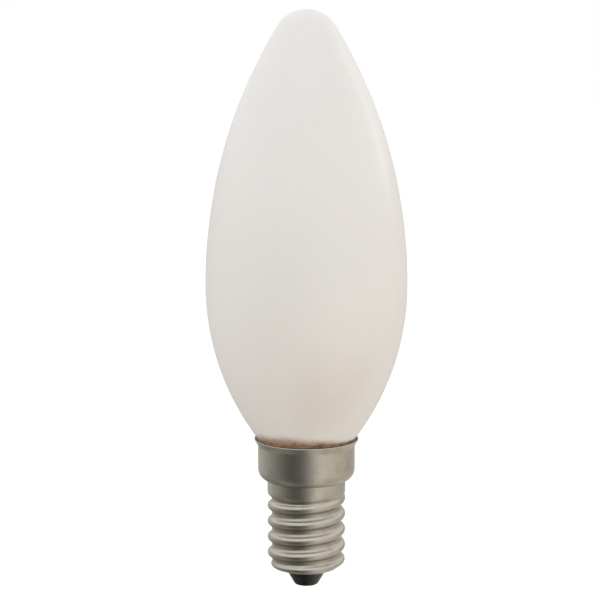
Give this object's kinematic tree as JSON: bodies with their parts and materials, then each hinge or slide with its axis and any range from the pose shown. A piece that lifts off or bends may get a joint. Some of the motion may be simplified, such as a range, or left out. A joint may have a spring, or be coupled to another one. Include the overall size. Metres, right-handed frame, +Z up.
{
  "type": "candle bulb",
  "caption": "Candle-shaped lamp bulb: white frosted glass drawn to a rounded tip, set in a small screw cap with a plain skirt, a cement ring and a centre contact.",
  "frame": {"origin": "the lowest point of the centre contact's solder, on the bulb's axis", "axes": "+Z up the axis from the contact to the glass tip; +X to the viewer's right and +Y away from the viewer of the picture"},
  "size_m": [0.035, 0.035, 0.1009],
  "materials": {
    "opal_glass": "white inner frosting seen through smooth clear glass",
    "plated_brass": "nickel-plated drawn sheet, satin with light tarnish",
    "basing_cement": "brown baked cement, matte",
    "black_glass": "moulded opaque black glass, glossy",
    "contact_brass": "pressed brass, satin",
    "solder": "grey tin solder, dull",
    "lead_wire": "plated wire"
  },
  "bodies": {
    "root": {"glass_envelope": "opal_glass", "cap_shell": "plated_brass", "cement_ring": "basing_cement", "cap_insulator": "black_glass", "contact_eyelet": "contact_brass", "contact_solder": "solder", "side_lead_wire": "lead_wire", "side_solder": "solder", "centre_lead_wire": "lead_wire"}
  },
  "joints": []
}
